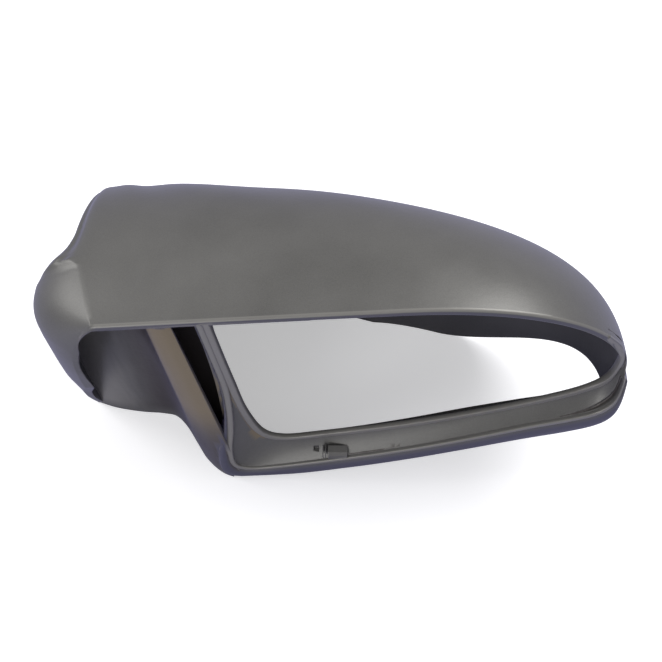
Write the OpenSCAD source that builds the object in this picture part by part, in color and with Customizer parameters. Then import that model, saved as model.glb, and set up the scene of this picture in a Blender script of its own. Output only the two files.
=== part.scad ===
// Wing mirror cover: one moulded shell of a right-hand door mirror.
// It takes in the domed body, the ring around the glass and the recess for the folding pivot.
// X runs outboard along the mirror, Y runs forward and Z runs up; the base edge is at Z = 0.

/* [Overall size] */
// Width across the two ends
body_w = 250.5; // [235:0.5:266]
// Height from the base edge to the top of the glass ring
body_h = 141; // [132:0.5:150]
// Depth from the glass ring to the nose
body_d = 105.5; // [98:0.5:113]
// Wall thickness of the moulding
wall = 2.6; // [2.2:0.1:3.2]

/* [Glass ring] */
// How far the lower rail stands behind the glass ring
rail_out = 8.2; // [7:0.2:9.4]
// Height of the outer skin below the lower rail
skin_h = 10.5; // [9:0.5:10.5]
// How far the outer skin swells behind the lower rail
skin_out = 1.2; // [0.6:0.1:1.6]
// Depth of the flange around the glass opening
flange_d = 2.4; // [2:0.2:4]
// Width of the groove along the lower rail
groove_w = 1.6; // [1.2:0.1:2.2]
// Depth of the groove along the lower rail
groove_d = 1.8; // [1.2:0.1:2.2]

/* [Pivot recess] */
// How far the sleeve bulges beyond the end wall
sleeve_out = 8.5; // [7:0.5:10]
// Distance of the back wall of the recess from the glass ring
recess_d = 28; // [25:0.5:31]

/* [Hidden] */
kx = body_w / 250.5;
ky = body_d / 105.5;
kz = body_h / 141;
nose_x = -100;
nose_z = 50;
end_x = 127.2;
end_z = 70;
shift_x = -2.9;
mid_y = (body_d - rail_out - skin_out) / 2;
metal = [0.62, 0.61, 0.60];

function lim(t) = min(1, max(0, t));
function ease(a, b, t) = let(q = lim((t - a) / (b - a))) q * q * (3 - 2 * q);
function round_off(t, n) = pow(max(0, 1 - pow(lim(t), n)), 1 / n);
function mix(a, b, t) = a + (b - a) * t;
function unit(v) = v / norm(v);

// A smooth curve through the rows of a list, at the row number t.
function through(list, t) =
  let(n = len(list) - 1, k = min(n - 1, floor(t)), f = t - k,
      a = list[max(0, k - 1)], b = list[k], c = list[k + 1], d = list[min(n, k + 2)])
  0.5 * ((2 * b) + (c - a) * f + (2 * a - 5 * b + 4 * c - d) * f * f + (3 * b - a - 3 * c + d) * f * f * f);

// The plane of the glass ring sweeps forward towards the outboard end.
function ring_y(x) = x < 10 ? 0 : 9.5 * pow((x - 10) / 116, 2);

function far(x) = max(0, (x - nose_x) / (end_x - nose_x));
function draw_back(x) = 1 - 0.0096 * far(x) + 0.113 * pow(far(x), 2);

// How far the top and the underside close in, towards the nose.
function shrink_z(x, s, o) =
  let(n = 2.51 - 0.81 * min(1, far(x)))
  round_off(s / (105.5 - o), n);

// Upper edge of the body in the plane of the glass ring.
function top_z(x, o) = x < 34
  ? 142.4 - o - 0.1 * sqrt(pow(34 - x, 2) + 196)
  : end_z + (71 - o) * round_off((x - 34) / (end_x - 34 - o), 2);

// Lower rail of the glass ring.
function rail_z(x) = x < 90
  ? 9 + 0.325 * (x + 30)
  : end_z - 22 * round_off((x - 90) / (end_x - 90), 2.5);

// The dome below its widest level, carried on under the base edge.
function low_z(x, o) = x < 80
  ? -32 + o
  : end_z - (102 - o) * round_off((x - 80) / (end_x - 80 - o), 2.5);

// Inboard side: a rounded sleeve at the rear, then the end wall running to the nose.
function side_x(s, o) =
  let(base = nose_x - (14 - o) * round_off(s / (105.5 - o), 2.2),
      out = sleeve_out * (1 - ease(32, 54, s)),
      turn = s < 28 ? 30 * (1 - sqrt(max(0, 1 - pow((28 - s) / 28, 2)))) : 0)
  base - out + turn;

// Sharp edge between the flat top panel and the sleeve.
function crease_x(s) = s < 28 ? -91 - 0.29 * s : -99.1 - 8 * pow((s - 28) / 6, 2);

NA = 5;
NB = 7;
NC = 6;
ND = 13;
NE = 7;
NF = 4;

// One closed outline of the body at the distance s in front of the glass ring.
function outline(s, o) =
  let(rx = pow(1 - pow(s / (105.5 - o), 2.42), 1 / 1.79), rz = shrink_z(nose_x, s, o),
      xl = min(side_x(s, o), nose_x - 0.2 * (1 - s / 105.5) - 0.02),
      crisp = 1 - ease(28, 38, s),
      zs = mix(nose_z, 106, (1 - ease(30, 46, s)) * rz),
      xc = max(crease_x(min(s, 34)), xl + 1),
      zt = nose_z + (top_z(nose_x, o) - nose_z) * rz,
      zb = nose_z + (low_z(nose_x, o) - nose_z) * rz,
      side = [for (i = [0 : NA - 1]) [xl + 4.5 * crisp * (1 - lim(mix(zb, zs, i / NA) / 100)), mix(zb, zs, i / NA)]],
      left = [for (i = [0 : NB + NC])
        let(a = 90 * min(1, i / NB),
            full = [nose_x - (nose_x - xl) * pow(cos(a), 0.75), zs + (zt - zs) * pow(sin(a), 0.75)],
            b = 62 * i / NB,
            x2 = mix(xc, nose_x + (end_x - nose_x) * 0.3 * rx, (i - NB) / NC),
            edge = i <= NB
              ? [xc - (xc - xl) * (cos(b) - cos(62)) / (1 - cos(62)),
                 zs + (nose_z + (top_z(xc, o) - nose_z) * rz - zs) * sin(b) / sin(62)]
              : [x2, nose_z + (top_z(x2, o) - nose_z) * shrink_z(x2, s, o)],
            x3 = mix(nose_x, nose_x + (end_x - nose_x) * 0.3, (i - NB) / NC),
            soft = i <= NB ? full : [nose_x + (x3 - nose_x) * rx, nose_z + (top_z(x3, o) - nose_z) * shrink_z(x3, s, o)])
        mix(soft, edge, crisp)],
      right = [for (i = [1 : ND + 2])
        let(x = i <= 2 ? mix(nose_x + (end_x - nose_x) * 0.3, 34, i / 2)
              : 34 + (end_x - 34 - o) * sin(90 * (i - 2) / ND))
        [nose_x + (x - nose_x) * rx, nose_z + (top_z(x, o) - nose_z) * shrink_z(x, s, o)]],
      low_right = [for (i = [1 : NE])
        let(x = 80 + (end_x - 80 - o) * cos(90 * i / NE))
        [nose_x + (x - nose_x) * rx, nose_z + (low_z(x, o) - nose_z) * shrink_z(x, s, o)]],
      low_left = [for (i = [1 : NF - 1])
        [mix(nose_x + (80 - nose_x) * rx, xl, i / NF), zb]])
  concat(side, left, right, low_right, low_left);

// Places a point of the ring plane frame in the frame of the cover.
function place(x, s, z) = [kx * (x + shift_x), ky * (ring_y(x) + s * draw_back(x)), kz * z];

module loft(rings) {
  n = len(rings[0]);
  m = len(rings);
  polyhedron(
    points = [for (r = rings) each r],
    faces = concat(
      [[for (i = [0 : n - 1]) i]],
      [for (j = [0 : m - 2]) for (i = [0 : n - 1])
        let(a = j * n + i, b = j * n + (i + 1) % n)
        each [[a, a + n, b + n], [a, b + n, b]]],
      [[for (i = [n - 1 : -1 : 0]) (m - 1) * n + i]]),
    convexity = 8);
}

NS = 28;
NR = 12;
function slice_s(j, o) = j < NR
  ? 42 * pow(j / NR, 1.3)
  : (105.5 - o) * sin(mix(asin(42 / (105.5 - o)), 88.5, (j - NR) / (NS - NR)));

module body_solid(o, back) {
  loft([for (j = [0 : NS])
    let(s = slice_s(j, o))
    [for (p = outline(s, o)) place(p[0], s, p[1]) - (j == 0 ? [0, back, 0] : [0, 0, 0])]]);
}

// Rows along the glass ring, from the top of its inboard bar around the outboard end:
// outer edge x and z, how far that edge stands back, inner edge x and z, skin height.
ring_rows = [
  [-51.3, 132.4, 0, -45.8, 132.4, 0.2],
  [-48.5, 105, 0, -43.0, 105, 0.2],
  [-46.3, 80, 0, -40.2, 80, 0.3],
  [-45.8, 62, 0.2, -37.9, 60, 0.4],
  [-46.6, 44, 0.45, -34.6, 44, 0.5],
  [-48.0, 28, 0.8, -31.6, 35, 0.55],
  [-47.0, 15, 1, -28.5, 30.5, 0.7],
  [-42.5, 9.2, 1, -24.5, 28.3, 0.86],
  [-33.0, 9.2, 1, -18.0, 27.9, 0.87],
  [-12.0, 14.4, 1, -5.0, 31.2, 1],
  [12.0, 22.1, 1, 17.0, 37.2, 1],
  [40.0, 31.1, 1, 44.0, 44.6, 1],
  [65.0, 39.0, 1, 68.0, 51.1, 1],
  [88.0, 44.6, 0.95, 89.0, 56.7, 1],
  [106.0, 47.5, 0.93, 104.5, 61.0, 1],
  [116.6, 50.6, 0.95, 112.5, 64.2, 0.9],
  [122.4, 55.4, 0.95, 117.6, 68.5, 0.78],
  [125.4, 62.0, 0.85, 120.2, 75.0, 0.52],
  [126.3, 73.0, 0.55, 120.9, 83.0, 0.2],
  [125.2, 86.5, 0.1, 120.4, 91.0, 0.1],
  [120.9, 99.5, 0, 117.2, 99.0, 0.1],
  [112.6, 111.0, 0, 110.4, 108.0, 0.1]];
RN = 2;

function ring_at(k) = through(ring_rows, k / RN);

// A point of the ring section: t outward from the opening's edge, y forward of the ring plane.
function ring_point(r, t, y) =
  let(a = [kx * r[3], kz * r[4]], b = [kx * r[0], kz * r[1]], d = unit(b - a), p = a + d * t)
  [p[0] + kx * shift_x, ky * ring_y(mix(r[3], r[0], 0.5)) + y, p[1]];
function ring_w(r) = norm([kx * (r[0] - r[3]), kz * (r[1] - r[4])]);

function face_section(r) =
  let(w = ring_w(r), y = -rail_out * r[2])
  [ring_point(r, 0, 0.5), ring_point(r, 0.6, -0.1), ring_point(r, 1.6, -0.3 - 0.05 * rail_out * r[2]),
   ring_point(r, w - 2, y + 0.7), ring_point(r, w - 2, y + 4.2), ring_point(r, 0, flange_d)];

function skin_section(r) =
  let(w = ring_w(r), y = -rail_out * r[2], h = skin_h * r[5], f = mix(1, 13, r[2]))
  [ring_point(r, w - 2.5, y + 0.25), ring_point(r, w - 1.4, y - 0.1), ring_point(r, w - 0.4, y),
   ring_point(r, w, y + 0.35), ring_point(r, w + 0.45 * h, y - skin_out * r[2]),
   ring_point(r, w + 0.8 * h, y - 0.7 * skin_out * r[2]), ring_point(r, w + 0.95 * h, y + 1), ring_point(r, w + h, y + 4),
   ring_point(r, w + h, y + f + 7), ring_point(r, w + h - wall, y + f + 7),
   ring_point(r, w + h - wall, y + 6), ring_point(r, w - 2.7, y + 5)];

function groove_section(r, f) =
  let(w = ring_w(r), y = -rail_out * r[2], g = groove_w * mix(1, 2.1, f))
  [ring_point(r, w - 2.9 - g, y - 2), ring_point(r, w - 2.9, y - 2),
   ring_point(r, w - 2.9, y + groove_d + 1), ring_point(r, w - 2.9 - g, y + groove_d + 1)];

module glass_ring() {
  last = (len(ring_rows) - 1) * RN;
  difference() {
    union() {
      loft([for (k = [0 : last]) face_section(ring_at(k))]);
      loft([for (k = [0 : last - 6]) skin_section(ring_at(k + 0.52))]);
    }
    for (k = [20 : 35])
      hull() loft([for (q = [k + 0.45, k + 1.45]) groove_section(ring_at(q), ease(28, 34, q))]);
  }
}

// Rows along the recess wall, from the glass ring to the sleeve: base x and y, then top x and y.
recess_rows = [
  [-44.5, -5.5, -60.0, 3.4],
  [-52.0, -3.5, -64.0, 3.0],
  [-58.5, 2.5, -68.8, 3.6],
  [-64.0, 11.0, -71.2, 8.0],
  [-69.5, 19.0, -73.5, 14.0],
  [-76.0, 25.0, -77.5, 21.0],
  [-84.0, 27.5, -85.0, 26.5],
  [-95.0, 28.7, -95.0, 28.5],
  [-108.0, 31.0, -108.0, 31.0],
  [-122.5, 37.5, -122.5, 36.5]];

// Blind slot between the recess and the inboard bar of the glass ring: its bottom, top to base.
slot_rows = [[145, -72.8, -50.8, 14.7], [90, -64.6, -47.2, 12.6], [50, -56.6, -46.8, 8.3], [20, -50.8, -46.8, 2.6]];

module slot_bottom() {
  loft([for (r = slot_rows)
    let(a = kx * (r[1] + shift_x), b = kx * (r[2] + shift_x), z = kz * r[0])
    [[a, r[3] + wall, z], [b + 0.3, r[3] + wall - 1.8, z], [b - 0.3, 0.9, z],
     [b - 1.7, 1.1, z], [b - 1.5, r[3] - 1.9, z], [a, r[3], z]]]);
}

module recess_wall() {
  n = (len(recess_rows) - 1) * 2;
  rows = [for (k = [0 : n]) through(recess_rows, k / 2)];
  normals = [for (k = [0 : n])
    let(a = rows[max(0, k - 1)], b = rows[min(n, k + 1)])
    [unit([b[0] - a[0], b[1] - a[1]]), unit([b[2] - a[2], b[3] - a[3]])]];
  deep = recess_d / 28;
  loft([for (k = [0 : n])
    let(r = rows[k], u = normals[k][0], v = normals[k][1],
        a = [kx * (r[0] + shift_x), r[1] * (r[1] > 0 ? deep : rail_out / 8.2)],
        b = [kx * (r[2] + shift_x), r[3] * deep],
        c = a + wall * [u[1], -u[0]] * -1, d = b + wall * [v[1], -v[0]] * -1)
    [[a[0], a[1], 0], [c[0], c[1], 0], concat(mix(c, d, 1.1), kz * 146.3), concat(mix(a, b, 1.1), kz * 146.3)]]);
}

// Rear edge of the sleeve, cut back towards the base to clear the mirror's foot.
module foot_clearance() {
  translate([kx * -145, 0, 0]) rotate([90, 0, 90])
    linear_extrude(kx * 60)
      polygon([[-20, kz * -30], [-20, kz * 127], [0, kz * 127], [2, kz * 104], [4, kz * 84], [8, kz * 64],
               [20, kz * 40], [38, 0], [55, kz * -30]]);
}

// The base edge of the dome is level inboard and rises around the outboard end.
module under_base() {
  translate([0, 300, 0]) rotate([90, 0, 0]) linear_extrude(600)
    polygon([for (p = concat([[-200, -60], [-200, 0]],
                             [for (x = [55 : 5 : 130]) [x, 58 * pow((x - 55) / 76, 1.9)]],
                             [[160, 60], [160, -60]])) [kx * (p[0] + shift_x), kz * p[1]]]);
}

// Clears the dome below the glass ring, where the ring's own skin closes the body.
module under_ring() {
  translate([0, ky * 14, 0]) rotate([90, 0, 0]) linear_extrude(ky * 14 + 20)
    polygon(concat([[kx * -130, kz * -60]],
      [[kx * -130, 0], [kx * -60, 0]],
      [for (x = [-55 : 10 : 125]) [kx * (x + shift_x), kz * (rail_z(x) - 1)]],
      [[kx * 160, kz * 62], [kx * 160, kz * -60]]));
}

module mirror_cover() {
  color(metal)
  translate([0, -mid_y, 0])
  union() {
    difference() {
      body_solid(0, 0);
      body_solid(wall, 5);
      foot_clearance();
      under_base();
      under_ring();
    }
    intersection() {
      union() {
        recess_wall();
        slot_bottom();
      }
      body_solid(0.6, 14);
    }
    glass_ring();
  }
}

mirror_cover();
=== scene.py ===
import math

import bmesh
import bpy
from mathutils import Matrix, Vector
from mathutils.bvhtree import BVHTree
from mathutils.kdtree import KDTree


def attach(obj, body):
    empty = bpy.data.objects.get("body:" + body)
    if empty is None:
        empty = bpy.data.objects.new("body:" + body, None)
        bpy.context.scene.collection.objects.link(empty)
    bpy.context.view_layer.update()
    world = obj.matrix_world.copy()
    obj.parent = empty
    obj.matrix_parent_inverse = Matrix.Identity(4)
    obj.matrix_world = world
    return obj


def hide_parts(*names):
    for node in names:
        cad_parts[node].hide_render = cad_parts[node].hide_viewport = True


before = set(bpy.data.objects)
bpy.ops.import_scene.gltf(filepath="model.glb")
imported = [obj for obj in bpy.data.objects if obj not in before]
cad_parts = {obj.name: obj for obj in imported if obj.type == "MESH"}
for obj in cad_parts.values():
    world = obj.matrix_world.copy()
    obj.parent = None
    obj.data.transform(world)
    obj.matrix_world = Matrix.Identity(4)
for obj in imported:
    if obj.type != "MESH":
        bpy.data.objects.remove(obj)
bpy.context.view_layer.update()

# The dome and the pivot sleeve.
# One injection-moulded ABS shell, 2.6 mm thick, open to the rear and below: a long flat top with a
# sharp crease at its inboard corner, a soft nose in front, and a sleeve that bulges around the pivot.
WALL = 2.6
DOME_DEPTH = 105.5
SLEEVE_OUT = 8.5
# Millimetres: x runs outboard, y forwards from the glass ring, z up from the base. Their zero in the frame:
MIDDLE_X, MIDDLE_Y = -2.9, -48.05
MIDDLE = Vector((MIDDLE_X, MIDDLE_Y, 0.0))
# The point inboard that the nose closes on, and the outboard end.
NOSE_X, NOSE_Z = -100.0, 50.0
END_X, END_Z = 127.2, 70.0
# Where the top, the base and the rail begin to turn down or up into the outboard end.
TOP_TURN, BASE_TURN, RAIL_TURN = 34, 80, 90
# The inboard flank turns in towards the ring over its last 28 mm. The rear edge is rounded by 1.5 mm.
FLANK_TURN = 28
REAR_ROUND = 1.5


def lim(t):
    return min(1.0, max(0.0, t))


def ease(a, b, t):
    q = lim((t - a) / (b - a))
    return q * q * (3 - 2 * q)


def mix(a, b, t):
    return a + (b - a) * t


def round_off(t, n):
    """A quarter of a rounded outline: 1 at t = 0, 0 at t = 1, fuller where n is larger."""
    return max(0.0, 1 - lim(t) ** n) ** (1 / n)


def ring_sweep(x):
    """The outboard half of the ring bends forwards, by 9.5 mm at its end."""
    return 0.0 if x < 10 else 9.5 * ((x - 10) / 116) ** 2


def far(x):
    """0 at the nose's inboard side, 1 at the outboard end."""
    return max(0.0, (x - NOSE_X) / (END_X - NOSE_X))


def draw_back(x):
    """The dome reaches a tenth further forwards at its outboard end."""
    return 1 - 0.0096 * far(x) + 0.113 * far(x) ** 2


def shrink(x, s, o):
    """The share of its full height that the dome still has at x, s mm in front of the ring."""
    shoulder = 0.14 * math.exp(-((x + 36) / 36) ** 2) * ease(-98, -36, x)
    corner = 0.10 * math.exp(-((x + 82) / 11) ** 2)
    return round_off(s / (DOME_DEPTH - o), 2.51 - 0.81 * min(1, far(x)) + (shoulder + corner))


def top_z(x, o):
    """Height of the top: nearly level, then a quarter of an ellipse down to the outboard end."""
    if x < TOP_TURN:
        return 142.4 - o - 0.1 * math.sqrt((TOP_TURN - x) ** 2 + 196)
    return END_Z + (71 - o) * round_off((x - TOP_TURN) / (END_X - TOP_TURN - o), 2)


def low_z(x, o):
    """Height of the underside, which runs on below the base edge until it is cut off there."""
    if x < BASE_TURN:
        return -32 + o
    return END_Z - (102 - o) * round_off((x - BASE_TURN) / (END_X - BASE_TURN - o), 2.5)


def rail_z(x):
    """Height of the ring's lower rail, where the dome stops."""
    if x < RAIL_TURN:
        return 9 + 0.325 * (x + 30)
    return END_Z - 22 * round_off((x - RAIL_TURN) / (END_X - RAIL_TURN), 2.5)


# Rear edge of the sleeve: height, and how far in front of the glass ring it lies there. It is rolled in.
SLEEVE_EDGE = [(-30, 41), (0, 32), (40, 18), (64, 8), (84, 4), (104, 2), (127, 0), (150, 0)]
ROLL = 12.0


def sleeve_edge(z):
    """How far in front of the glass ring the sleeve ends, at the height z."""
    for (z1, s1), (z2, s2) in zip(SLEEVE_EDGE, SLEEVE_EDGE[1:]):
        if z <= z2:
            return mix(s1, s2, lim((z - z1) / (z2 - z1)))
    return 0.0


def rolled_in(s, z, o):
    """The sleeve's rear edge rolls inwards around a 12 mm radius, less so at the base and the top."""
    r = ROLL - o
    u = sleeve_edge(z) + 0.85 * ROLL - s
    if u <= 0:
        return 0.0
    # Past 0.85 of the radius the roll runs on straight, 1.61 mm inwards a millimetre, for 3 mm.
    steep = 0.85 * r
    fall = r - math.sqrt(r * r - min(u, steep) ** 2) + min(3, max(0, u - steep)) * 1.61
    return fall * (1 - ease(50, 95, z)) * ease(-6, 84, z)


def side_x(s, o):
    """The inboard flank, with the sleeve's bulge behind."""
    base = NOSE_X - (14 - o) * round_off(s / (DOME_DEPTH - o), 2.2)
    bulge = SLEEVE_OUT * (1 - ease(32, 54, s))
    turn = 30 * (1 - math.sqrt(max(0, 1 - ((FLANK_TURN - s) / FLANK_TURN) ** 2))) if s < FLANK_TURN else 0
    return base - bulge + turn


def crease_x(s):
    """The crease between the top and the sleeve runs inboard as it goes forwards, and ends in the flank."""
    return -91 - 0.29 * s if s < FLANK_TURN else -99.1 - 8 * ((s - FLANK_TURN) / 6) ** 2


def dome_outline(s, o):
    """One closed outline (x, z) of the dome, s mm in front of the glass ring and o mm inside its skin."""
    # Points on the flank, the corner, the top next to it, the level top, the two quarters outboard, the base.
    flank, corner, near, level, quarter, under, base = 48, 42, 30, 14, 90, 42, 12
    crease_arc = 54
    reach = (END_X - NOSE_X) * 0.3
    # What is left here of the full width and, inboard, of the full height.
    rx = (1 - (s / (DOME_DEPTH - o)) ** 2.38) ** (1 / 1.79)
    rz = shrink(NOSE_X, s, o)
    # 1 where the corner has its crease, 0 further forwards, where it is soft.
    crisp = 1 - ease(31, 37, s)
    flank_x = min(side_x(s, o), NOSE_X - 0.2 * (1 - s / DOME_DEPTH) - 0.02)
    crease = max(crease_x(min(s, 34)), flank_x + 1)
    flank_z = mix(NOSE_Z, 106, (1 - ease(30, 46, s)) * rz)
    upper_z = NOSE_Z + (top_z(NOSE_X, o) - NOSE_Z) * rz
    base_z = NOSE_Z + (low_z(NOSE_X, o) - NOSE_Z) * rz
    points = []
    for i in range(flank):
        z = mix(base_z, flank_z, i / flank)
        points.append((flank_x + 4.5 * crisp * (1 - lim(z / 100)) + rolled_in(s, z, o), z))
    for i in range(corner + near + 1):
        if i <= corner:
            a = math.radians(90 * i / corner)
            # The soft corner lies a little lower just before it reaches the top.
            lower = 1 - 0.04 * math.exp(-((a - 1.38) / 0.14) ** 2)
            soft = (NOSE_X - (NOSE_X - flank_x) * max(0, math.cos(a)) ** 0.75,
                    flank_z + (upper_z - flank_z) * math.sin(a) ** 0.96 * lower)
            b = math.radians(crease_arc * i / corner)
            least, most = math.cos(math.radians(crease_arc)), math.sin(math.radians(crease_arc))
            edge = (crease - (crease - flank_x) * (math.cos(b) - least) / (1 - least),
                    flank_z + (NOSE_Z + (top_z(crease, o) - NOSE_Z) * rz - flank_z) * math.sin(b) / most)
        else:
            x2 = mix(crease, NOSE_X + reach * rx, (i - corner) / near)
            edge = (x2, NOSE_Z + (top_z(x2, o) - NOSE_Z) * shrink(x2, s, o))
            x3 = mix(NOSE_X, NOSE_X + reach, (i - corner) / near)
            soft = (NOSE_X + (x3 - NOSE_X) * rx, NOSE_Z + (top_z(x3, o) - NOSE_Z) * shrink(x3, s, o))
        points.append((mix(soft[0], edge[0], crisp), mix(soft[1], edge[1], crisp)))
    for i in range(1, level + quarter + 1):
        if i <= level:
            x = mix(NOSE_X + reach, TOP_TURN, i / level)
        else:
            x = TOP_TURN + (END_X - TOP_TURN - o) * math.sin(math.radians(90 * (i - level) / quarter))
        points.append((NOSE_X + (x - NOSE_X) * rx, NOSE_Z + (top_z(x, o) - NOSE_Z) * shrink(x, s, o)))
    for i in range(1, under + 1):
        x = BASE_TURN + (END_X - BASE_TURN - o) * math.cos(math.radians(90 * i / under))
        points.append((NOSE_X + (x - NOSE_X) * rx, NOSE_Z + (low_z(x, o) - NOSE_Z) * shrink(x, s, o)))
    for i in range(1, base):
        points.append((mix(NOSE_X + (BASE_TURN - NOSE_X) * rx, flank_x, i / base), base_z))
    return points


def lofted(name, sections):
    """A closed solid through closed sections with the same number of points each, in millimetres."""
    n = len(sections[0])
    faces = [tuple(range(n))]
    for j in range(len(sections) - 1):
        for i in range(n):
            a, b = j * n + i, j * n + (i + 1) % n
            faces.append((a, b, b + n, a + n))
    faces.append(tuple((len(sections) - 1) * n + i for i in range(n)))
    bm = bmesh.new()
    verts = [bm.verts.new(Vector(p) / 1000) for s in sections for p in s]
    for face in faces:
        bm.faces.new([verts[i] for i in face])
    bmesh.ops.triangulate(bm, faces=[f for f in bm.faces if len(f.verts) > 4])
    bmesh.ops.recalc_face_normals(bm, faces=bm.faces)
    mesh = bpy.data.meshes.new(name)
    bm.to_mesh(mesh)
    bm.free()
    obj = bpy.data.objects.new(name, mesh)
    bpy.context.scene.collection.objects.link(obj)
    return obj


def dome_solid(name, o, back):
    """The filled dome, o mm inside its skin. Its flat rear face lies behind the ring by back mm."""
    # Outlines: close together over the rounded rear edge, evenly apart to halfway, then closer to the nose.
    marks = [0.0, 0.15, 0.35, 0.65, 1.0, REAR_ROUND] + [0.85 * j for j in range(2, 62)]
    count, start = 66, math.asin(marks[-1] / (DOME_DEPTH - o))
    marks += [(DOME_DEPTH - o) * math.sin(mix(start, math.radians(89.6), j / count)) for j in range(1, count + 1)]
    sections = []
    for j, s in enumerate(marks):
        worn = REAR_ROUND - math.sqrt(REAR_ROUND ** 2 - (REAR_ROUND - s) ** 2) if s < REAR_ROUND and o == 0 else 0
        lift = back if j == 0 else 0
        sections.append([Vector((x, ring_sweep(x) + s * draw_back(x) - lift, z)) + MIDDLE
                         for x, z in dome_outline(s, o + worn)])
    return lofted(name, sections)


def extruded(name, points, along, low, high):
    """A flat outline (two numbers a point) run along X or Y from low to high, in millimetres."""
    def place(p, h):
        return (h, p[0], p[1]) if along == "x" else (p[0], h, p[1])
    return lofted(name, [[place(p, low) for p in points], [place(p, high) for p in points]])


def combine(base, tool, how):
    """Cuts the tool out of the base, adds it to it, or keeps what they share, and uses the tool up."""
    step = base.modifiers.new(how, "BOOLEAN")
    step.operation = how
    step.solver = "MANIFOLD"
    step.object = tool
    made = bpy.data.meshes.new_from_object(base.evaluated_get(bpy.context.evaluated_depsgraph_get()))
    base.modifiers.clear()
    base.data = made
    bpy.data.objects.remove(tool)


cover = dome_solid("mirror_cover_moulding", 0, 0)
hollow = dome_solid("hollow", WALL, 5)
inner_skin = BVHTree.FromPolygons([v.co for v in hollow.data.vertices], [p.vertices for p in hollow.data.polygons])
combine(cover, hollow, "DIFFERENCE")

# The rear edge of the sleeve is cut back towards the base, where the mirror's foot passes.
foot_gap = [(-20, -30), (-20, 127)] + [(sleeve_edge(z), z) for z in range(127, -31, -3)]
combine(cover, extruded("foot", [(y + MIDDLE_Y, z) for y, z in foot_gap], "x", -145, -85), "DIFFERENCE")

# The base edge is level inboard and rises around the outboard end.
base_edge = ([(-200, -60), (-200, 0)] + [(x, 58 * ((x - 55) / 76) ** 1.9) for x in range(55, 131)]
             + [(160, 60), (160, -60)])
combine(cover, extruded("base", [(x + MIDDLE_X, z) for x, z in base_edge], "y", -300, 300), "DIFFERENCE")

# Below the glass ring the dome stops, and the ring's own outer skin closes the body.
ring_line = ([(-130, -60), (-130, 0), (-60, 0)] + [(x + MIDDLE_X, rail_z(x) - 1) for x in range(-55, 126, 2)]
             + [(160, 62), (160, -60)])
combine(cover, extruded("under_ring", ring_line, "y", MIDDLE_Y - 20, MIDDLE_Y + 14), "DIFFERENCE")

# The glass ring.
# The frame around the mirror glass, moulded with the dome: a 3.2 mm lip, a sloping channel, a groove
# that widens outboard, a rail and the outer skin below it, swept from the top of the inboard bar,
# down it, along the rail and up around the outboard end.
LIP = 3.2
FLANGE = 2.4
RAIL_OUT = 8.2
RAIL_ROUND = 2.9
SKIN_OUT = 1.2
SKIN_HEIGHT = 10.5
# Outer edge x and z, share of RAIL_OUT that it stands out, inner edge x and z, share of SKIN_HEIGHT.
RING_ROWS = [
    (-51.3, 132.4, 0, -45.8, 132.4, 0.05), (-48.5, 105, 0, -43.0, 105, 0.05), (-46.3, 80, 0, -40.2, 80, 0.06),
    (-45.8, 62, 0.2, -37.9, 60, 0.1), (-46.6, 44, 0.45, -34.6, 44, 0.2), (-48.0, 28, 0.8, -31.6, 35, 0.45),
    (-47.0, 15, 1, -28.5, 30.5, 0.7), (-42.5, 9.2, 1, -24.5, 28.3, 0.86), (-33.0, 9.2, 1, -18.0, 27.9, 0.87),
    (-12.0, 14.4, 1, -5.0, 31.2, 1), (12.0, 22.1, 1, 17.0, 37.2, 1), (40.0, 31.1, 1, 44.0, 44.6, 1),
    (65.0, 39.0, 1, 68.0, 51.1, 1), (88.0, 44.6, 0.95, 89.0, 56.7, 1), (106.0, 47.5, 0.93, 104.5, 61.0, 1),
    (116.6, 50.6, 0.95, 112.5, 64.2, 0.9), (122.4, 55.4, 0.95, 117.6, 68.5, 0.78),
    (125.4, 62.0, 0.85, 120.2, 75.0, 0.52), (126.3, 73.0, 0.55, 120.9, 83.0, 0.2),
    (125.2, 86.5, 0.1, 120.4, 91.0, 0.1), (120.9, 99.5, 0, 117.2, 99.0, 0.1), (112.6, 111.0, 0, 110.4, 108.0, 0.1)]


def through(rows, t):
    """A smooth curve through the rows of a list, at the row number t."""
    n = len(rows) - 1
    k = min(n - 1, int(t))
    f = t - k
    out = []
    for a, b, c, d in zip(rows[max(0, k - 1)], rows[k], rows[k + 1], rows[min(n, k + 2)]):
        out.append(0.5 * (2 * b + (c - a) * f + (2 * a - 5 * b + 4 * c - d) * f * f
                          + (3 * b - a - 3 * c + d) * f ** 3))
    return out


def ring_frame(row):
    """Inner edge, direction to the outer edge, width and forward sweep of the ring at one row."""
    inner, outer = Vector((row[3], row[4])), Vector((row[0], row[1]))
    way = outer - inner
    return inner, way.normalized(), way.length, ring_sweep((row[0] + row[3]) / 2)


def ring_section(row, profile):
    """A profile's points (distance from the inner edge, depth), set in place on the ring."""
    inner, way, width, sweep = ring_frame(row)
    out = []
    for t, y in profile(row, width):
        p = inner + way * t
        out.append(Vector((p.x, sweep + y, p.y)) + MIDDLE)
    return out


def groove_share(t):
    """0 where the channel is plain, 1 where the groove is at its widest around the outboard end."""
    return ease(13.2, 16.4, t)


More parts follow.
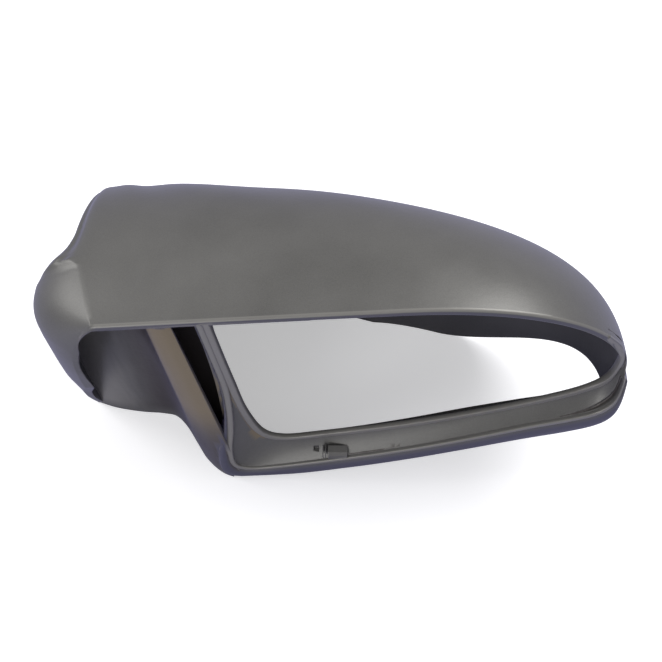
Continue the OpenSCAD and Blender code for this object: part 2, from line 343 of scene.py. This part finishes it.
def face_profile(t):
    """Lip, step and channel. On the inboard bar the channel is a slope that falls into the slot."""
    bar = 1 - ease(3.0, 5.6, t)
    end = ease(14.6, 17.2, t) * (1 - ease(18.4, 19.4, t))
    def points(row, w):
        y = -RAIL_OUT * row[2]
        lip = min(LIP, 0.5 * w)
        curl = 1.1 * end
        front = [(0, FLANGE), (0, 0.6 - curl), (0.15, 0.22 - curl), (0.5, 0.0 - curl), (0.8 * lip, -0.05 - curl),
                 (0.93 * lip, 0.0 - curl), (lip, 0.18 - curl)]
        step = mix(0.75, 0.35, bar)
        start = lip + 0.25
        back = [(start, step)]
        for f in (0.12, 0.3, 0.5, 0.7, 0.88):
            a = mix(start, w - 2.0, f)
            plain = mix(step, y + 0.9, f ** 1.15) + 0.5 * math.sin(math.pi * f)
            sloping = mix(step, y + 1.2, f)
            back.append((a, mix(plain, sloping, bar)))
        deep = mix(0.9, 1.6, bar)
        return front + back + [(w - 2, y + deep), (w - 2, y + 4.4), (w * 0.5, mix(FLANGE, y + 4.4, 0.4) + 0.8)]
    return points


def skin_profile(t):
    """The rounded rail, the outer skin below it, which bulges a little, and its return behind."""
    def points(row, w):
        y = -RAIL_OUT * row[2]
        h = SKIN_HEIGHT * row[5]
        deep = y + mix(1, 13, row[2]) + 7
        rail = [(w - 2.7, y + 0.35), (w - 2.4, y + 0.05), (w - 1.8, y - 0.1), (w - 0.9, y - 0.1),
                (w - 0.3, y + 0.1), (w, y + 0.35)]
        skin = [(w + 0.25 * h, y - 0.65 * SKIN_OUT * row[2]), (w + 0.45 * h, y - SKIN_OUT * row[2]),
                (w + 0.65 * h, y - SKIN_OUT * row[2]), (w + 0.8 * h, y - 0.7 * SKIN_OUT * row[2]),
                (w + 0.9 * h, y + 0.1), (w + 0.96 * h, y + 1.2), (w + 0.99 * h, y + 2.6), (w + h, y + 4)]
        behind = [(w + h, deep), (w + h - WALL, deep), (w + h - WALL, y + 6), (w - RAIL_ROUND, y + 5)]
        return rail + skin + behind
    return points


def groove_profile(t):
    """The groove between the channel and the rail, 1.5 mm wide inboard and 3.4 mm outboard."""
    def points(row, w):
        y = -RAIL_OUT * row[2]
        wide = mix(1.5, 3.4, groove_share(t))
        d = mix(1.7, 3.6, groove_share(t))
        side = w - RAIL_ROUND
        return [(side - wide, y - 6), (side, y - 6), (side, y + d + 0.2), (w - 3.2, y + d + 0.6),
                (w - 2.6 - wide, y + d + 0.6), (side - wide, y + d + 0.2)]
    return points


# Mark of each point of a section: P painted highlight on the lip and the rail, V painted violet reflection and
# shade on the outer skin, D painted shade in the groove.
ring_tones = []


def swept(name, profile, first, last, tones, steps=12):
    """A profile swept along the ring, from one row number to another, and its marks of painted light and shade
    kept.
    """
    count = round((last - first) * steps)
    marks = [mix(first, last, i / count) for i in range(count + 1)]
    sections = [ring_section(through(RING_ROWS, t), profile(t)) for t in marks]
    for section in sections:
        ring_tones.extend(zip(section, tones))
    return lofted(name, sections)


ring = swept("ring", face_profile, 0, 21, "-PPPPP----------")
combine(ring, swept("skin", skin_profile, 0.02, 18.26, "PPPPP-VVVVVVVVV---"), "UNION")
combine(ring, swept("groove", groove_profile, 9.83, 17.9, "DDDDDD"), "DIFFERENCE")
combine(cover, ring, "UNION")
# A small pocket and a block with two fine ribs, side by side in the channel where the groove begins.
pocket = [(y + MIDDLE_Y, z) for y, z in ((-12, 21.0), (-1.8, 21.0), (-1.8, 25.4), (-12, 25.4))]
combine(cover, extruded("pocket", pocket, "x", -11.0, -8.5), "DIFFERENCE")
for left, right, out in ((-4.3, 4.6, 0.9), (-6.9, -6.4, 0.5), (-5.7, -5.2, 0.5)):
    block = [(y + MIDDLE_Y, z) for y, z in (
        (-7.1 - out, 22.2), (-6.7 - out, 24.4), (-5.6 - out, 25.8), (-3.0, 26.6), (-3.0, 22.2))]
    combine(cover, extruded("block", block, "x", left, right), "UNION")

# The pivot recess and the blind slot beside the ring's bar.
# Moulded with the dome: the wall behind the folding pivot curves from the ring to the sleeve, and
# between it and the ring's bar lies a narrow slot with a bottom of its own.
# The wall's front face in plan, from the ring to the sleeve: x and y at its base, then x and y at the top.
RECESS_ROWS = [
    (-42.0, -6.6, -62.4, 3.8), (-50.5, -4.2, -65.4, 2.9), (-58.2, 2.4, -69.2, 3.9), (-63.8, 11.0, -71.4, 8.3),
    (-69.5, 20.0, -73.6, 14.2), (-76.0, 26.5, -77.5, 21.0), (-84.0, 28.5, -85.0, 26.5), (-95.0, 29.4, -95.0, 28.5),
    (-109.0, 32.0, -108.0, 31.0), (-123.5, 37.5, -122.5, 36.5)]
# The slot's bottom, from the top down: height, x at the wall, x at the bar, y at the wall.
SLOT_ROWS = [(145, -72.8, -50.8, 14.7), (90, -64.6, -47.2, 12.6), (50, -56.6, -46.8, 8.3), (20, -50.8, -46.8, 2.6)]
# The wall is made a tenth taller than the cover and trimmed to the dome. Steps up it, and from row to row.
CROWN, TALLER = 146.3, 1.1
LEVELS = 16
BETWEEN = 8
# The wall's rear face point by point, for the painted light and shade on it.
rear_face = []


def recess_wall():
    """The curved wall, 2.6 mm thick; each section stands upright."""
    count = (len(RECESS_ROWS) - 1) * BETWEEN
    rows = [through(RECESS_ROWS, k / BETWEEN) for k in range(count + 1)]
    sections = []
    for k, r in enumerate(rows):
        a, b = rows[max(0, k - 1)], rows[min(count, k + 1)]
        u = Vector((b[0] - a[0], b[1] - a[1])).normalized()
        v = Vector((b[2] - a[2], b[3] - a[3])).normalized()
        base, top = Vector((r[0], r[1])), Vector((r[2], r[3]))
        base_in = base - WALL * Vector((u.y, -u.x))
        top_in = top - WALL * Vector((v.y, -v.x))
        back = [Vector((*base_in.lerp(top_in, TALLER * h / LEVELS), CROWN * h / LEVELS)) for h in range(LEVELS + 1)]
        front = [Vector((*base.lerp(top, TALLER * h / LEVELS), CROWN * h / LEVELS)) for h in range(LEVELS + 1)]
        sections.append([p + MIDDLE for p in back + front[::-1]])
        rear_face.append([p + MIDDLE for p in back])
    return lofted("recess", sections)


def slot_bottom():
    """The slot's bottom, a strip that slants from the wall to the back of the bar."""
    sections = []
    for k in range((len(SLOT_ROWS) - 1) * BETWEEN + 1):
        z, a, b, y = through(SLOT_ROWS, k / BETWEEN)
        sections.append([Vector((px, py, z)) + MIDDLE for px, py in (
            (a, y + WALL), (b + 0.3, y + WALL - 1.8), (b - 0.3, 0.9), (b - 1.7, 1.1), (b - 1.5, y - 1.9), (a, y))])
    return lofted("slot", sections)


inner = recess_wall()
combine(inner, slot_bottom(), "UNION")
# Trimmed to 1.1 mm inside the dome's skin; it may stand 14 mm behind the ring. Its foot clears the corner.
combine(inner, dome_solid("trim", 1.1, 14), "INTERSECT")
toe = [(y + MIDDLE_Y, z) for y, z in ((-14, -1), (-6, -1), (-6, 2.4), (-14, 2.4))]
combine(inner, extruded("toe", toe, "x", -50, -38), "DIFFERENCE")
combine(cover, inner, "UNION")

mesh = cover.data
mesh.shade_smooth()
mesh.set_sharp_from_angle(angle=math.radians(24))

# The painted light and shade.
# The recess, the slot and the groove are painted in shade, with painted warm light on the strips by the slot and
# painted light at the recess's far end. The ring's lip and rail and the top's rear edge carry a painted highlight,
# and the ring's outer skin a painted violet reflection and shade. Each mark is a share from 0 to 1.
wall_points, wall_faces = [], []
for k, column in enumerate(rear_face):
    for h, point in enumerate(column):
        wall_points.append(point / 1000)
        if k and h:
            a = k * (LEVELS + 1) + h
            wall_faces.append((a, a - 1, a - LEVELS - 2, a - LEVELS - 1))
wall_skin = BVHTree.FromPolygons(wall_points, wall_faces)
on_ring = KDTree(len(ring_tones))
for k, (point, tone) in enumerate(ring_tones):
    on_ring.insert(point / 1000, k)
on_ring.balance()
# Marks of painted light and shade: painted shade, painted warm light, painted light and highlight, painted violet
# reflection.
painted_shade = mesh.attributes.new("painted_shade", "FLOAT", "POINT")
warm = mesh.attributes.new("warm", "FLOAT", "POINT")
pale = mesh.attributes.new("pale", "FLOAT", "POINT")
violet = mesh.attributes.new("violet", "FLOAT", "POINT")
# Mark of each letter, and how near its point has to be, in metres.
RING_MARKS = {"P": (pale, 0.0006), "V": (violet, 0.0006), "D": (painted_shade, 0.00005)}
# How near the recess wall's rear face has to be, in metres, and how far down from the top the painted highlight and
# reflection on the rear edge reach.
WALL_NEAR = 0.0009
PAINTED_EDGE_BAND = 3.2
for v in mesh.vertices:
    x, y, z = v.co * 1000 - MIDDLE
    k, gap = on_ring.find(v.co)[1:]
    tone = ring_tones[k][1]
    if tone in RING_MARKS and gap < RING_MARKS[tone][1]:
        RING_MARKS[tone][0].data[v.index].value = 1.0
        continue
    # Along the top's rear edge: a painted violet reflection on the face at the ring, and a painted highlight just
    # in front of it.
    if z > top_z(x, 0) - PAINTED_EDGE_BAND:
        ahead = y - ring_sweep(x)
        if -90 < x < 118 and ahead < 1.6:
            (violet if ahead < 0.3 else pale).data[v.index].value = 0.6
        continue
    if x > -30:
        continue
    point, normal, face = wall_skin.find_nearest(v.co, WALL_NEAR)[:3]
    if point is not None and abs(v.normal.z) < 0.5 and abs(v.normal.dot(normal)) > 0.5:
        # Row of RECESS_ROWS: painted warm light on the strip by the slot, painted shade over the middle, less of it
        # on the lit ledge at its foot, and painted light instead of shade at the far end.
        row = face // LEVELS / BETWEEN
        strip = 1 - ease(1.9, 2.7, row)
        low = 1 - ease(22, 66, z)
        ledge = 0.45 * (1 - ease(3, 12, z)) * (1 - ease(5.4, 6.4, row))
        deep = ease(5.2, 7.4, row) * ease(-5, 14, z)
        shaded = ease(2.1, 3.0, row) * (1 - ledge) * (1 - deep)
        painted_shade.data[v.index].value = max(shaded, 0.85 * low * strip)
        warm.data[v.index].value = strip * mix(1.0, 0.12, low)
        pale.data[v.index].value = ease(6.5, 7.9, row)
    elif -52 < x < -30 and 18 < z < 132 and 0.25 < y < 16:
        # The bar's side of the slot: painted warm light low down and near the ring, painted shade further forwards.
        warm.data[v.index].value = 0.85 * (1 - ease(70, 104, z)) * (1 - ease(2, 4, y))
        painted_shade.data[v.index].value = ease(2, 4, y)
    elif -76 < x < -45 and 1.6 < y < 18 and z < 131:
        # The slot's bottom, painted in shade.
        painted_shade.data[v.index].value = 1.0

# The paint.
# Satin metallic silver, sprayed over the plastic: fine flakes, a soft orange-peel surface and lighter edges, partly
# worn and partly a painted highlight. Inside, only a thin spray covers the moulded plastic, and its darker colour
# is partly painted shade.
FLAKE_SHARE, CLOUD_SHARE = 0.45, 0.55


def paint_grain():
    """Node group: the flakes, the cloudiness and the orange peel of sprayed metallic paint."""
    group = bpy.data.node_groups.new("paint grain", "ShaderNodeTree")
    for name, value in (("Flake size", 2600.0), ("Cloud size", 22.0), ("Peel size", 420.0)):
        socket = group.interface.new_socket(name, in_out="INPUT", socket_type="NodeSocketFloat")
        socket.default_value = value
    for name in ("Flakes", "Clouds", "Peel"):
        group.interface.new_socket(name, in_out="OUTPUT", socket_type="NodeSocketFloat")
    nodes, links = group.nodes, group.links
    ins, outs = nodes.new("NodeGroupInput"), nodes.new("NodeGroupOutput")
    place = nodes.new("ShaderNodeTexCoord")
    for name, detail, size in (("Flakes", 2.0, "Flake size"), ("Clouds", 3.0, "Cloud size"),
                               ("Peel", 1.0, "Peel size")):
        noise = nodes.new("ShaderNodeTexNoise")
        noise.inputs["Detail"].default_value = detail
        links.new(place.outputs["Object"], noise.inputs["Vector"])
        links.new(ins.outputs[size], noise.inputs["Scale"])
        spread = nodes.new("ShaderNodeMapRange")
        spread.inputs["From Min"].default_value = 0.3
        spread.inputs["From Max"].default_value = 0.7
        links.new(noise.outputs["Fac"], spread.inputs["Value"])
        links.new(spread.outputs["Result"], outs.inputs[name])
    return group


def edge_wear_and_highlight():
    """Node group: 1 on outer edges, 0 on the open surface, broken up by noise; these edges are lightened, partly as
    wear and partly as a painted highlight.
    """
    group = bpy.data.node_groups.new("edge rub", "ShaderNodeTree")
    for name, value in (("Reach", 0.0007), ("Break up", 260.0)):
        socket = group.interface.new_socket(name, in_out="INPUT", socket_type="NodeSocketFloat")
        socket.default_value = value
    group.interface.new_socket("Edge", in_out="OUTPUT", socket_type="NodeSocketFloat")
    group.interface.new_socket("Normal", in_out="OUTPUT", socket_type="NodeSocketVector")
    nodes, links = group.nodes, group.links
    ins, outs = nodes.new("NodeGroupInput"), nodes.new("NodeGroupOutput")
    soft = nodes.new("ShaderNodeBevel")
    soft.samples = 6
    links.new(ins.outputs["Reach"], soft.inputs["Radius"])
    shape = nodes.new("ShaderNodeNewGeometry")
    lean = nodes.new("ShaderNodeVectorMath")
    lean.operation = "DOT_PRODUCT"
    links.new(soft.outputs["Normal"], lean.inputs[0])
    links.new(shape.outputs["Normal"], lean.inputs[1])
    mask = nodes.new("ShaderNodeMapRange")
    mask.inputs["From Min"].default_value = 0.996
    mask.inputs["From Max"].default_value = 0.93
    links.new(lean.outputs["Value"], mask.inputs["Value"])
    place = nodes.new("ShaderNodeTexCoord")
    noise = nodes.new("ShaderNodeTexNoise")
    noise.inputs["Detail"].default_value = 3.0
    links.new(place.outputs["Object"], noise.inputs["Vector"])
    links.new(ins.outputs["Break up"], noise.inputs["Scale"])
    broken = nodes.new("ShaderNodeMapRange")
    broken.inputs["From Min"].default_value = 0.35
    broken.inputs["From Max"].default_value = 0.6
    links.new(noise.outputs["Fac"], broken.inputs["Value"])
    both = nodes.new("ShaderNodeMath")
    both.operation = "MULTIPLY"
    links.new(mask.outputs["Result"], both.inputs[0])
    links.new(broken.outputs["Result"], both.inputs[1])
    links.new(both.outputs["Value"], outs.inputs["Edge"])
    links.new(soft.outputs["Normal"], outs.inputs["Normal"])
    return group


GRAIN, WEAR_AND_HIGHLIGHT = paint_grain(), edge_wear_and_highlight()


def sprayed(name, dark, light, worn, metallic, roughness, sheen, shaded=None, tan=None, painted_light_tone=None, shadow=None):
    """A sprayed surface: its colour runs between dark and light with the flakes, takes the colours of the painted
    shade, warm light, highlight and violet reflection where their marks lie, and is lighter at the edges, partly
    worn and partly a painted highlight."""
    material = bpy.data.materials.new(name)
    material.use_nodes = True
    nodes, links = material.node_tree.nodes, material.node_tree.links
    shader = nodes["Principled BSDF"]
    grain, wear_and_highlight = nodes.new("ShaderNodeGroup"), nodes.new("ShaderNodeGroup")
    grain.node_tree, wear_and_highlight.node_tree = GRAIN, WEAR_AND_HIGHLIGHT
    blend = nodes.new("ShaderNodeMath")
    blend.operation = "MULTIPLY_ADD"
    blend.inputs[1].default_value = FLAKE_SHARE
    links.new(grain.outputs["Flakes"], blend.inputs[0])
    cloud = nodes.new("ShaderNodeMath")
    cloud.operation = "MULTIPLY"
    cloud.inputs[1].default_value = CLOUD_SHARE
    links.new(grain.outputs["Clouds"], cloud.inputs[0])
    links.new(cloud.outputs["Value"], blend.inputs[2])
    colour = nodes.new("ShaderNodeMix")
    colour.data_type = "RGBA"
    colour.inputs["A"].default_value = (*dark, 1)
    colour.inputs["B"].default_value = (*light, 1)
    links.new(blend.outputs["Value"], colour.inputs["Factor"])
    for attribute, tone in (("warm", tan), ("painted_shade", shaded), ("pale", painted_light_tone), ("violet", shadow)):
        if tone:
            share = nodes.new("ShaderNodeAttribute")
            share.attribute_name = attribute
            layer = nodes.new("ShaderNodeMix")
            layer.data_type = "RGBA"
            layer.inputs["B"].default_value = (*tone, 1)
            links.new(share.outputs["Fac"], layer.inputs["Factor"])
            links.new(colour.outputs["Result"], layer.inputs["A"])
            colour = layer
    # Lighter edges: partly worn paint, partly a painted highlight.
    edge = nodes.new("ShaderNodeMix")
    edge.data_type = "RGBA"
    edge.inputs["B"].default_value = (*worn, 1)
    links.new(colour.outputs["Result"], edge.inputs["A"])
    links.new(wear_and_highlight.outputs["Edge"], edge.inputs["Factor"])
    links.new(edge.outputs["Result"], shader.inputs["Base Color"])
    rough = nodes.new("ShaderNodeMapRange")
    rough.inputs["To Min"].default_value = roughness - 0.05
    rough.inputs["To Max"].default_value = roughness + 0.06
    links.new(grain.outputs["Clouds"], rough.inputs["Value"])
    links.new(rough.outputs["Result"], shader.inputs["Roughness"])
    bump = nodes.new("ShaderNodeBump")
    bump.inputs["Strength"].default_value = 0.25
    bump.inputs["Distance"].default_value = 0.00006
    links.new(grain.outputs["Peel"], bump.inputs["Height"])
    links.new(wear_and_highlight.outputs["Normal"], bump.inputs["Normal"])
    links.new(bump.outputs["Normal"], shader.inputs["Normal"])
    shader.inputs["Metallic"].default_value = metallic
    # The violet sheen tint is a painted reflection at grazing angles.
    shader.inputs["Sheen Weight"].default_value = sheen
    shader.inputs["Sheen Roughness"].default_value = 0.35
    shader.inputs["Sheen Tint"].default_value = (0.45, 0.42, 0.85, 1)
    return material


# Besides the paint's own colours: the worn edges are partly a painted highlight, the dark brown is painted shade,
# the brownish yellow painted warm light, the pale tone painted light and highlight, and the violet grey a painted
# reflection and shade.
silver = sprayed("silver paint", dark=(0.100, 0.098, 0.090), light=(0.160, 0.157, 0.146), worn=(0.21, 0.20, 0.19),
                 metallic=0.30, roughness=0.38, sheen=0.20, shaded=(0.056, 0.048, 0.042), tan=(0.235, 0.19, 0.115),
                 painted_light_tone=(0.25, 0.242, 0.22), shadow=(0.092, 0.091, 0.126))
# Inside the dome: a thinner coat, darker partly as painted shade.
overspray_and_shade = sprayed("overspray inside", dark=(0.055, 0.054, 0.059), light=(0.092, 0.090, 0.097),
                    worn=(0.16, 0.155, 0.15), metallic=0.2, roughness=0.55, sheen=0.05)
mesh.materials.clear()
mesh.materials.append(silver)
mesh.materials.append(overspray_and_shade)
# The faces that lie on the dome's inner skin (within 0.12 mm) take the inside coat, darker partly as painted shade.
INNER_GAP = 0.00012
for face in mesh.polygons:
    centre = face.center
    x, y = centre.x * 1000 - MIDDLE.x, centre.y * 1000 - MIDDLE.y
    point, normal = inner_skin.find_nearest(centre, 0.002)[:2]
    inside = (point is not None and (point - centre).length < INNER_GAP and abs(normal.dot(face.normal)) > 0.9
              and y > ring_sweep(x) + 0.6)
    face.material_index = 1 if inside else 0
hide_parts("mirror_cover")
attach(cover, "root")

# The stand.
# A pale paper floor that runs on to the horizon, and three soft lamps: the main one high and outboard,
# one on the inboard side, and a low fill on the camera's side.
FLOOR = 6
floor_mesh = bpy.data.meshes.new("floor")
floor_mesh.from_pydata([(-FLOOR, -FLOOR, 0), (FLOOR, -FLOOR, 0), (FLOOR, FLOOR, 0), (-FLOOR, FLOOR, 0)], [],
                       [(0, 1, 2, 3)])
floor = bpy.data.objects.new("floor", floor_mesh)
bpy.context.scene.collection.objects.link(floor)
paper = bpy.data.materials.new("pale paper")
paper.use_nodes = True
nodes, links = paper.node_tree.nodes, paper.node_tree.links
sheet = nodes["Principled BSDF"]
# Seen directly the paper is white; the light that it throws back on the cover is weaker and cool.
seen = nodes.new("ShaderNodeLightPath")
tone = nodes.new("ShaderNodeMix")
tone.data_type = "RGBA"
tone.inputs["A"].default_value = (0.38, 0.38, 0.51, 1)
tone.inputs["B"].default_value = (0.90, 0.90, 0.91, 1)
links.new(seen.outputs["Is Camera Ray"], tone.inputs["Factor"])
links.new(tone.outputs["Result"], sheet.inputs["Base Color"])
glow = nodes.new("ShaderNodeMath")
glow.operation = "MULTIPLY"
glow.inputs[1].default_value = 0.42
links.new(seen.outputs["Is Camera Ray"], glow.inputs[0])
links.new(glow.outputs["Value"], sheet.inputs["Emission Strength"])
sheet.inputs["Emission Color"].default_value = (1, 1, 1, 1)
sheet.inputs["Roughness"].default_value = 0.9
floor_mesh.materials.append(paper)

# The middle of the cover, at which the lamps aim.
AIM = Vector((0, 0, 0.07))


def softbox(name, size, power, at):
    """A square area lamp of this size in metres and power in watts."""
    lamp = bpy.data.lights.new(name, "AREA")
    lamp.shape = "RECTANGLE"
    lamp.size, lamp.size_y = size, size
    lamp.energy = power
    obj = bpy.data.objects.new(name, lamp)
    obj.location = at
    obj.rotation_euler = (AIM - Vector(at)).to_track_quat("-Z", "Y").to_euler()
    bpy.context.scene.collection.objects.link(obj)


softbox("main softbox", 0.7, 9, (0.74, 0.38, 0.95))
softbox("side softbox", 0.5, 3.6, (-0.92, 0.28, 0.70))
softbox("fill softbox", 0.6, 4.4, (-0.64, -0.98, 0.46))

world = bpy.data.worlds.new("studio")
bpy.context.scene.world = world
world.use_nodes = True
nodes, links = world.node_tree.nodes, world.node_tree.links
nodes["Background"].inputs["Color"].default_value = (0.95, 0.95, 1.0, 1)
# White where it is seen, weaker as a light.
sky = nodes.new("ShaderNodeLightPath")
level = nodes.new("ShaderNodeMapRange")
level.inputs["To Min"].default_value = 0.56
level.inputs["To Max"].default_value = 1.0
links.new(sky.outputs["Is Camera Ray"], level.inputs["Value"])
links.new(level.outputs["Result"], nodes["Background"].inputs["Strength"])

# The camera stands behind the ring and looks down on it at 60 degrees. Its focal length is 1000 pixels
# of the 662 pixel frame.
SENSOR = 36
camera = bpy.data.cameras.new("camera")
camera.sensor_width = SENSOR
camera.lens = 1000 * SENSOR / 662
camera.clip_start = 0.01
eye = bpy.data.objects.new("camera", camera)
eye.location = (-0.0029, -0.23805, 0.45671)
eye.rotation_euler = (math.radians(90 - 60), 0, 0)
bpy.context.scene.collection.objects.link(eye)
bpy.context.scene.camera = eye
bpy.context.scene.view_settings.view_transform = "Standard"
